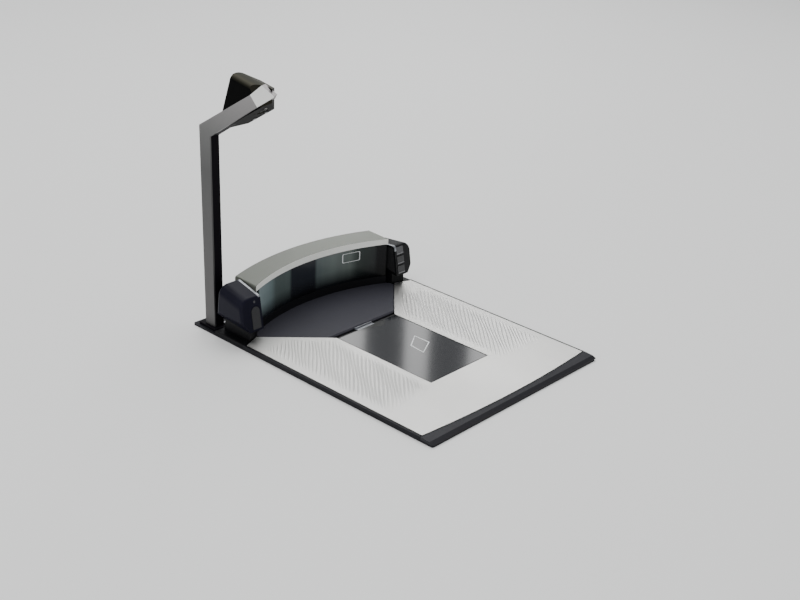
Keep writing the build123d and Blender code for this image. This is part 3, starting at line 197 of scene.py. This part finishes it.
def make_materials():
    paint("tub", (0.05, 0.05, 0.055), 0.55, vary=0.2, grain=1400, depth=80 * MICRON)
    paint("feet", (0.02, 0.02, 0.02), 0.8, grain=1800)
    paint("rim", (0.005, 0.005, 0.008), 0.5, grain=1600, depth=30 * MICRON, specular=0.2)
    paint("bumper", (0.026, 0.026, 0.03), 0.5, grain=1800, depth=30 * MICRON, specular=0.15)
    paint("fastener", (0.45, 0.45, 0.46), 0.35, 1.0, grain=2500, depth=10 * MICRON)
    paint("cast", (0.45, 0.45, 0.45), 0.5, 1.0, grain=1200, depth=60 * MICRON)
    paint("board", (0.01, 0.09, 0.035), 0.35, vary=0.25, cloud=120)
    paint("chips", (0.012, 0.012, 0.013), 0.5, grain=2200)
    paint("inner", (0.008, 0.008, 0.009), 0.7)
    paint("seal", (0.008, 0.008, 0.008), 0.7)
    paint("deck", (0.036, 0.036, 0.046), 0.5, vary=0.08, cloud=9, grain=1700, depth=30 * MICRON,
          specular=0.25)
    paint("black", (0.003, 0.003, 0.004), 0.5, grain=1700, depth=20 * MICRON, specular=0.2)
    paint("cap", (0.006, 0.006, 0.014), 0.36, vary=0.15, grain=1900, depth=20 * MICRON, specular=0.1)
    paint("key", (0.022, 0.022, 0.024), 0.35, vary=0.1, grain=2000, depth=20 * MICRON)
    paint("lens", (0.06, 0.06, 0.065), 0.18, vary=0.1)
    paint("bright", (0.3, 0.31, 0.33), 0.32, 0.8, vary=0.2, cloud=300, grain=1500, depth=30 * MICRON)
    # light grey for the strips under the keys: a painted highlight
    paint("painted_highlight_lip", (0.2, 0.2, 0.21), 0.35, vary=0.1, grain=1500, depth=10 * MICRON)
    paint("cover", (0.165, 0.175, 0.15), 0.38, 0.45, vary=0.1, cloud=7, grain=2600, depth=10 * MICRON)
    paint("cover_front", (0.95, 0.955, 0.90), 0.45, 0.0, vary=0.06, cloud=9, grain=2400,
          depth=10 * MICRON)
    # pale copy of the mast metal for the arm's turned tip faces: a painted highlight
    paint("facet", (0.78, 0.78, 0.75), 0.42, 0.3, vary=0.05, cloud=25, grain=2400, depth=10 * MICRON)
    # pale material for rounded edges: a painted highlight
    paint("painted_edge_highlight", (0.9, 0.9, 0.88), 0.35, 0.3, vary=0.05, grain=2400, depth=10 * MICRON)
    paint("mast_black", (0.004, 0.003, 0.005), 0.55, grain=1800, depth=20 * MICRON, specular=0.06)
    paint("cable", (0.01, 0.01, 0.01), 0.6)
    paint("print", (0.93, 0.95, 0.95), 0.6, vary=0.03)
    paint("light", (0.85, 0.85, 0.8), 0.4, vary=0.03)
    paint("mirror", (0.8, 0.82, 0.82), 0.06, 1.0, vary=0.02, depth=0.0)


def stainless(name, along):
    """Satin stainless sheet, brushed along one direction."""
    material, tree, shader, coords = node_tree(name)
    clouds = noise_at(tree, coords, 7.0, 3.0)
    tone = ramp(tree, clouds, [(0.3, (0.71, 0.705, 0.68)), (0.7, (0.79, 0.785, 0.76))])
    tree.links.new(tone, shader.inputs["Base Color"])
    brushed = noise_at(tree, coords, 500.0, 3.0, along)
    tree.links.new(between(tree, brushed, 0.36, 0.5), shader.inputs["Roughness"])
    bump(tree, shader, brushed, 10 * MICRON)
    shader.inputs["Metallic"].default_value = 1.0
    shader.inputs["Anisotropic"].default_value = 0.3
    return material


def head_black():
    """The head's black moulding, toned by how far each face points up: black walls, partly painted shade,
    and a brownish top with a painted highlight.
    """
    material, tree, shader, coords = node_tree("head")
    facing = tree.nodes.new("ShaderNodeTexCoord").outputs["Normal"]
    split = tree.nodes.new("ShaderNodeSeparateXYZ")
    tree.links.new(facing, split.inputs["Vector"])
    clouds = noise_at(tree, coords, 25.0, 3.0)
    mixed = tree.nodes.new("ShaderNodeMath")
    mixed.operation = "MULTIPLY_ADD"
    mixed.inputs[1].default_value = 0.12
    tree.links.new(clouds, mixed.inputs[0])
    tree.links.new(split.outputs["Z"], mixed.inputs[2])
    # stops by face direction: painted shade on the walls, a painted highlight on the upward faces
    shaded_wall, slope = (0.002, 0.002, 0.002), (0.02, 0.019, 0.014)
    lit_roof, top = (0.085, 0.08, 0.062), (0.06, 0.06, 0.05)
    stops = [(0.2, shaded_wall), (0.45, slope), (0.8, lit_roof), (1.0, top)]
    tree.links.new(ramp(tree, mixed.outputs["Value"], stops), shader.inputs["Base Color"])
    fine = noise_at(tree, coords, 1900.0, 2.0)
    tree.links.new(between(tree, fine, 0.55, 0.65), shader.inputs["Roughness"])
    bump(tree, shader, fine, 20 * MICRON)
    shader.inputs["Specular IOR Level"].default_value = 0.03
    return material


def mast_metal(low, high):
    """The mast's outer face: painted shade up the pole, a painted highlight along the arm that grows to the
    tip.
    """
    material, tree, shader, coords = node_tree("mast_metal")
    split = tree.nodes.new("ShaderNodeSeparateXYZ")
    tree.links.new(coords, split.inputs["Vector"])
    height = tree.nodes.new("ShaderNodeMapRange")
    height.inputs["From Min"].default_value = low
    height.inputs["From Max"].default_value = high
    tree.links.new(split.outputs["Z"], height.inputs["Value"])
    clouds = noise_at(tree, coords, 10.0, 3.0)
    mixed = tree.nodes.new("ShaderNodeMath")
    mixed.operation = "MULTIPLY_ADD"
    mixed.inputs[1].default_value = 0.06
    tree.links.new(clouds, mixed.inputs[0])
    tree.links.new(height.outputs["Result"], mixed.inputs[2])
    # painted light by height: shade up the pole, a highlight brightening along the arm
    foot, bend = (0.11, 0.106, 0.106), (0.095, 0.095, 0.095)
    arm, tip = (0.15, 0.15, 0.148), (0.31, 0.297, 0.297)
    stops = [(0.0, foot), (0.66, bend), (0.80, arm), (1.0, tip)]
    tree.links.new(ramp(tree, mixed.outputs["Value"], stops), shader.inputs["Base Color"])
    fine = noise_at(tree, coords, 2400.0, 2.0, (1, 1, 0.1))
    tree.links.new(between(tree, fine, 0.38, 0.5), shader.inputs["Roughness"])
    bump(tree, shader, fine, 10 * MICRON)
    shader.inputs["Metallic"].default_value = 0.7
    return material


def banded_glass(name, low_x, high_x, low_z, high_z, stops):
    """Upright glass with painted reflection bands that change along X, and painted shade that sinks to
    black at the foot.
    """
    material, tree, shader, coords = node_tree(name)
    split = tree.nodes.new("ShaderNodeSeparateXYZ")
    tree.links.new(coords, split.inputs["Vector"])
    along = tree.nodes.new("ShaderNodeMapRange")
    along.inputs["From Min"].default_value = low_x
    along.inputs["From Max"].default_value = high_x
    tree.links.new(split.outputs["X"], along.inputs["Value"])
    tone = ramp(tree, along.outputs["Result"], stops)
    up = tree.nodes.new("ShaderNodeMapRange")
    up.inputs["From Min"].default_value = low_z
    up.inputs["From Max"].default_value = high_z
    tree.links.new(split.outputs["Z"], up.inputs["Value"])
    # painted shade: the glass darkens to black towards its foot
    shades = [(0.05, (0.03, 0.03, 0.04)), (0.45, (0.8, 0.8, 0.8)), (1.0, (1, 1, 1))]
    shade = ramp(tree, up.outputs["Result"], shades)
    streaks = noise_at(tree, coords, 60.0, 2.0, (1, 0.2, 0.05))
    streak_tone = ramp(tree, streaks, [(0.3, (0.85, 0.85, 0.85)), (0.7, (1, 1, 1))])
    result = tone
    for factor in (shade, streak_tone):
        mix = tree.nodes.new("ShaderNodeMix")
        mix.data_type = "RGBA"
        mix.blend_type = "MULTIPLY"
        mix.inputs["Factor"].default_value = 1.0
        tree.links.new(result, mix.inputs["A"])
        tree.links.new(factor, mix.inputs["B"])
        result = mix.outputs["Result"]
    tree.links.new(result, shader.inputs["Base Color"])
    tree.links.new(between(tree, streaks, 0.12, 0.2), shader.inputs["Roughness"])
    shader.inputs["Specular IOR Level"].default_value = 0.3
    return material


def upright_glass():
    """The painted reflection bands seen in the upright glass, from its left end to its right one."""
    edge, pale, teal = (0.03, 0.04, 0.04), (0.32, 0.4, 0.41), (0.2, 0.265, 0.27)
    deep, navy = (0.105, 0.135, 0.13), (0.022, 0.026, 0.034)
    left_of_print, by_print, right_of_print = (0.12, 0.15, 0.15), (0.17, 0.205, 0.195), (0.15, 0.18, 0.165)
    dim, dark, end = (0.05, 0.065, 0.06), (0.035, 0.04, 0.04), (0.008, 0.008, 0.01)
    stops = [
        (0.0, edge), (0.03, edge), (0.045, pale), (0.16, teal), (0.21, deep), (0.33, deep),
        (0.35, navy), (0.53, navy), (0.55, left_of_print), (0.66, by_print), (0.78, right_of_print),
        (0.83, dim), (0.93, dark), (0.95, end),
    ]
    return banded_glass("upright", upright_low.x, upright_high.x, upright_low.z, upright_high.z, stops)


def smoked_glass(name, colour, rough, specular):
    """Dark, glossy window glass that hides what is behind it."""
    material, tree, shader, coords = node_tree(name)
    clouds = noise_at(tree, coords, 12.0, 2.0)
    tone = ramp(tree, clouds, [(0.3, shaded(colour, 0.8)), (0.7, shaded(colour, 1.2))])
    tree.links.new(tone, shader.inputs["Base Color"])
    tree.links.new(between(tree, clouds, rough * 0.9, rough * 1.1), shader.inputs["Roughness"])
    shader.inputs["Specular IOR Level"].default_value = specular
    return material


def clear_glass(name, colour, alpha):
    """Clear glass, drawn as a thin see-through skin."""
    material, tree, shader, coords = node_tree(name)
    clouds = noise_at(tree, coords, 30.0, 2.0)
    tone = ramp(tree, clouds, [(0.3, shaded(colour, 0.95)), (0.7, colour)])
    tree.links.new(tone, shader.inputs["Base Color"])
    shader.inputs["Roughness"].default_value = 0.05
    shader.inputs["Alpha"].default_value = alpha
    return material


make_materials()
KIT["stainless"] = stainless("stainless", (1, 0.05, 1))
KIT["rib"] = stainless("rib", (1, 0.05, 1))
KIT["window"] = smoked_glass("window", (0.006, 0.007, 0.009), 0.085, 0.6)
KIT["head"] = head_black()
KIT["upright"] = upright_glass()
KIT["mast_metal"] = mast_metal(mast_low.z, mast_high.z)
KIT["clear"] = clear_glass("clear", (0.6, 0.65, 0.65), 0.3)


def paint_nodes():
    give(KIT["tub"], "lower_housing")
    give(KIT["feet"], "housing_feet", "spider_pads")
    give(KIT["rim"], "rim_frame")
    give(KIT["bumper"], "front_bumper")
    give(KIT["fastener"], "rim_screws", "tab_pin", "mast_screws", "head_screws", "board_standoffs")
    give(KIT["cast"], "cell_pedestal", "load_cell", "weigh_spider")
    give(KIT["board"], "weigh_board", "lower_led_boards", "main_board", "window_led_board",
         "head_led_board", "camera_board")
    give(KIT["chips"], "key_boards", "lower_imager", "board_chips", "socket_block", "vertical_imagers",
         "speaker", "cable_plugs", "camera_barrel")
    give(KIT["inner"], "optics_box", "window_carrier", "window_mask", "bonnet_shell")
    give(KIT["clear"], "lower_window", "imager_lenses", "head_window", "camera_lens")
    give(KIT["mirror"], "fold_mirror")
    give(KIT["stainless"], "platter")
    give(KIT["seal"], "window_gasket")
    give(KIT["window"], "platter_window")
    give(KIT["upright"], "vertical_window")
    give(KIT["bright"], "lift_tab", "trim_strips")
    give(KIT["deck"], "deck_panel")
    give(KIT["black"], "window_sill", "cap_bases")
    give(KIT["cover"], "bonnet_cover")
    give(KIT["cap"], "end_cap_left")
    give(KIT["black"], "end_cap_right")
    give(KIT["key"], "zero_key", "tone_key", "call_key")
    give(KIT["lens"], "status_lens", "call_lens")
    give(KIT["mast_metal"], "mast_cover")
    give(KIT["mast_black"], "mast_body", "mast_foot")
    give(KIT["head"], "head_housing", "head_base")
    give(KIT["cable"], "mast_cable")
    give(KIT["light"], "head_light_lens")


FACET_LENGTH = 34 * MM  # of the arm's tip, where its outer face turns
BUMPER_FRONT_DEPTH = 6 * MM  # of the bumper, given the rim's black: painted shade on its front, darker than its top


def give_faces(name, material, wanted):
    """A second material on the faces of a CAD node that pass a test of their normal and middle."""
    mesh = NODES[name].data
    mesh.materials.append(material)
    for face in mesh.polygons:
        if wanted(face.normal, face.center):
            face.material_index = len(mesh.materials) - 1


def front_band(normal, middle):
    return normal.y < -0.3 and abs(normal.x) < 0.7


def arm_facet(normal, middle):
    return middle.y < mast_low.y + FACET_LENGTH and normal.x < -0.5 and normal.z > 0.1


def bumper_front_painted_shade(normal, middle):
    return middle.y < bumper_low.y + BUMPER_FRONT_DEPTH


paint_nodes()
give_faces("bonnet_cover", KIT["cover_front"], front_band)
# the arm's turned tip faces get a pale copy of the mast metal: a painted highlight
give_faces("mast_cover", KIT["facet"], arm_facet)
soften(0.4 * MM, "rim_frame", "mast_foot", "cap_bases", "deck_panel", "lift_tab")
# the bumper's front strip takes the rim's black: painted shade below its lit top
give_faces("front_bumper", KIT["rim"], bumper_front_painted_shade)
soften(0.6 * MM, "mast_body", "front_bumper", "lower_housing")
# the pale edge material paints a highlight along the rounded edges of the mast cover and platter
soften(1.3 * MM, "mast_cover", bright=KIT["painted_edge_highlight"])
soften(0.7 * MM, "platter", bright=KIT["painted_edge_highlight"])
soften(0.5 * MM, "zero_key", "tone_key", "call_key", "status_lens", "end_cap_right", "end_cap_left")


# ------------------------------------------------------------------ fine pieces
def mesh_of(name, verts, faces):
    mesh = bpy.data.meshes.new(name)
    mesh.from_pydata(verts, [], faces)
    mesh.update()
    return mesh


def upright_arc():
    """Radius and centre of the upright glass's front face, from its box."""
    half = upright_high.x
    sag = upright_high.y - 3 * MM - upright_low.y
    radius = (half * half + sag * sag) / (2 * sag)
    return radius, upright_low.y + sag - radius


ARC_R, ARC_Y = upright_arc()


def on_arc(x, z, back):
    """A point on the upright glass's front face, moved back by a distance."""
    radius = ARC_R + back
    return (x, ARC_Y + math.sqrt(radius * radius - x * x), z)


def outline_strip(corners, width, lift):
    """A closed thin frame through the corners, as inner and outer rings raised by a vector."""
    diagonal = 1.4  # a square corner is this many widths across
    middle = sum((Vector(c) for c in corners), Vector()) / len(corners)
    outer = [Vector(c) + lift for c in corners]
    inner = [v + (middle + lift - v).normalized() * width * diagonal for v in outer]
    count = len(corners)
    faces = [(i, (i + 1) % count, count + (i + 1) % count, count + i) for i in range(count)]
    return [tuple(v) for v in outer + inner], faces


def target_outlines():
    """White printed outlines that show where each window looks."""
    width, height, cut = 26 * MM, 12.5 * MM, 1.2 * MM
    x_high, z_high = upright_high.x - 35.5 * MM, upright_high.z - 4.5 * MM
    x_low, z_low = x_high - width, z_high - height
    plan = [
        (x_low + cut, z_low), (x_high - cut, z_low), (x_high, z_low + cut), (x_high, z_high - cut),
        (x_high - cut, z_high), (x_low + cut, z_high), (x_low, z_high - cut), (x_low, z_low + cut),
    ]
    corners = [on_arc(x, z, -0.1 * MM) for x, z in plan]
    verts, faces = outline_strip(corners, 0.9 * MM, Vector((0, 0, 0)))
    mesh = mesh_of("upright_outline", verts, faces)
    new_piece("upright_outline", mesh, KIT["print"], "unit")
    middle = (glass_low + glass_high) / 2
    plan = [(1.1, 3.8), (24.4, 18.4), (25.1, -5.3), (-1, -19.2)]  # mm from the middle of the glass
    corners = [(middle.x + x * MM, middle.y + y * MM, glass_high.z) for x, y in plan]
    verts, faces = outline_strip(corners, 1.2 * MM, Vector((0, 0, 0.06 * MM)))
    mesh = mesh_of("lower_outline", verts, faces)
    new_piece("lower_outline", mesh, KIT["print"], "platter")


def platter_ribs():
    """Fine wavy ribs pressed into both wings of the platter; they fade out at their ends."""
    along, across = Vector((0.67, 0.742)), Vector((0.742, -0.67))
    edge_x, window_x = sheet_high.x - 4 * MM, glass_high.x + 3 * MM
    front_y, back_y = sheet_low.y + 50 * MM, sheet_high.y - 22 * MM
    pitch, step, height, half = 4.0 * MM, 4.0 * MM, 0.38 * MM, 1.5 * MM
    sink = 0.04 * MM
    notch_half, notch_slope = 62 * MM, 1.057  # the deck panel's notch widens towards the back
    notch_square = 0.69  # distance square to the notch's side, from the distance along X
    wave_height, wave_rate, wave_shift = 0.9 * MM, 60, 0.9
    rib_count, step_count, shortest = 75, 70, 4
    fade_length, front_fade, back_fade = 16 * MM, 0.4, 0.6
    verts, faces = [], []
    for side in (-1, 1):
        for k in range(-rib_count, rib_count + 1):
            run = []
            for j in range(-step_count, step_count + 1):
                s = j * step
                wave = wave_height * math.sin(s * wave_rate + k * wave_shift)
                place = along * s + across * (k * pitch + wave)
                inward = min(edge_x - side * place.x, side * place.x - window_x)
                slant = notch_half + (place.y - PANEL_FRONT) * notch_slope
                inward = min(inward, (side * place.x - slant) * notch_square)
                depth = min(inward, (place.y - front_y) * front_fade, (back_y - place.y) * back_fade)
                if depth > 0:
                    run.append((place, min(1.0, depth / fade_length)))
                elif run:
                    break
            if len(run) < shortest:
                continue
            first = len(verts)
            for place, fade in run:
                ridge = height * fade * fade * (3 - 2 * fade)
                for offset, z in ((-half, -sink), (0, ridge - sink), (half, -sink)):
                    spot = place + across * offset
                    verts.append((spot.x, spot.y, PLATTER_TOP + z))
            for i in range(len(run) - 1):
                a = first + 3 * i
                faces.append((a, a + 1, a + 4, a + 3))
                faces.append((a + 1, a + 2, a + 5, a + 4))
    new_piece("platter_ribs", mesh_of("platter_ribs", verts, faces), KIT["rib"], "platter")


def key_painted_highlights():
    """Thin light-grey strip along the lower edge of the lamp lens and the two keys of the right cap: a
    painted highlight.
    """
    for name, body in (("status_lens", "unit"), ("zero_key", "zero_key"), ("tone_key", "tone_key")):
        low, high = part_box(name)
        inset, depth, rise = 1.2 * MM, 0.5 * MM, 0.9 * MM
        x0, x1 = low.x + inset, high.x - inset
        y0 = low.y + 0.15 * MM
        z0 = low.z + 1.3 * MM
        profile = [(-0.35 * MM, 0), (depth, 0), (depth, rise), (-0.2 * MM, rise)]
        verts = [(x, y0 + y, z0 + z) for x in (x0, x1) for y, z in profile]
        faces = [(0, 1, 2, 3), (7, 6, 5, 4), (0, 3, 7, 4), (1, 5, 6, 2), (3, 2, 6, 7), (0, 4, 5, 1)]
        new_piece(name + "_painted_highlight_lip", mesh_of(name + "_painted_highlight_lip", verts, faces), KIT["painted_highlight_lip"], body)


def cap_cheeks():
    """Inner cheek plates that close the end caps towards the bonnet."""
    # side, cap, and how far under the cap's top the cheek's front and back corners lie
    cheeks = [(1, "end_cap_right", 0.9 * MM, 4.8 * MM), (-1, "end_cap_left", 9.3 * MM, 0)]
    for side, name, front_drop, back_drop in cheeks:
        low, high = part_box(name)
        inset, thickness, gap = 2.7 * MM, 1 * MM, 0.4 * MM
        x = (low.x if side > 0 else high.x) + side * gap
        corners = [
            (low.y + inset, low.z + inset),
            (low.y + 7 * MM + inset, high.z - front_drop - inset),
            (high.y - 4 * MM - inset, high.z - back_drop - inset),
            (high.y - inset, low.z + 9.5 * MM),
        ]
        verts = [(x + side * offset, y, z) for offset in (0, thickness) for y, z in corners]
        faces = [(3, 2, 1, 0), (4, 5, 6, 7), (0, 1, 5, 4), (1, 2, 6, 5), (2, 3, 7, 6), (3, 0, 4, 7)]
        new_piece(name + "_cheek", mesh_of(name + "_cheek", verts, faces), KIT["inner"], "unit")


target_outlines()
platter_ribs()
key_painted_highlights()
cap_cheeks()


# ------------------------------------------------------------------ stage and light
def counter_floor():
    """Pale floor at the counter's height, with the opening that the tub hangs in."""
    reach = 6.0
    gap = 1.0 * MM  # left free round the tub
    tub_low, tub_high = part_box("lower_housing")
    xs = (-reach, tub_low.x - gap, tub_high.x + gap, reach)
    ys = (-reach, tub_low.y - gap, tub_high.y + gap, reach)
    work = bmesh.new()
    grid = [[work.verts.new((x, y, COUNTER_Z)) for y in ys] for x in xs]
    for i in range(3):
        for j in range(3):
            if (i, j) != (1, 1):
                work.faces.new((grid[i][j], grid[i + 1][j], grid[i + 1][j + 1], grid[i][j + 1]))
    mesh = bpy.data.meshes.new("floor")
    work.to_mesh(mesh)
    work.free()
    floor = bpy.data.objects.new("floor", mesh)
    bpy.context.scene.collection.objects.link(floor)
    mesh.materials.append(surface("floor_paint", (0.92, 0.92, 0.905), 0.6, vary=0.01, cloud=1.0, depth=0.0))


def area_light(name, place, aim, size, radiance):
    """A soft box of the given radiance, hidden from the camera but not from reflections."""
    data = bpy.data.lights.new(name, "AREA")
    data.shape = "RECTANGLE"
    data.size, data.size_y = size
    data.energy = radiance * math.pi * size[0] * size[1]
    lamp = bpy.data.objects.new(name, data)
    bpy.context.scene.collection.objects.link(lamp)
    lamp.location = place
    lamp.rotation_euler = (Vector(aim) - Vector(place)).to_track_quat("-Z", "Y").to_euler()
    lamp.visible_camera = False


def along_view(azimuth_deg, distance, height):
    """A point at a compass angle from the camera, +Y towards +X."""
    turn = math.radians(azimuth_deg)
    start = camera.matrix_world.translation
    return (start.x + distance * math.sin(turn), start.y + distance * math.cos(turn), height)


def set_light():
    world = bpy.data.worlds.new("studio")
    world.use_nodes = True
    sky = world.node_tree.nodes["Background"]
    sky.inputs["Color"].default_value = (0.95, 0.97, 1.0, 1)
    sky.inputs["Strength"].default_value = 0.5
    bpy.context.scene.world = world
    centre = Vector((0, 0, COUNTER_Z))
    area_light("top_box", (0.6, 0.9, 3.2), centre, (3.4, 3.0), 3.0)
    area_light("left_box", (-2.6, 0.6, 1.8), centre, (1.6, 1.6), 1.8)
    area_light("front_box", (-1.5, -2.0, 0.9), centre, (1.5, 1.0), 2.0)
    # tall strips behind the object: they draw the bands in the horizontal glass
    strips = [("strip_left", 45.2, 2.4), ("strip_middle", 49.1, 1.2), ("strip_right", 52.9, 2.2)]
    distance, height = 4.0, 1.55
    for name, azimuth, width in strips:
        place = along_view(azimuth, distance, height)
        size = (distance * math.radians(width), 1.9)
        area_light(name, place, along_view(azimuth, 1.2, height), size, 3.4)


counter_floor()
set_light()
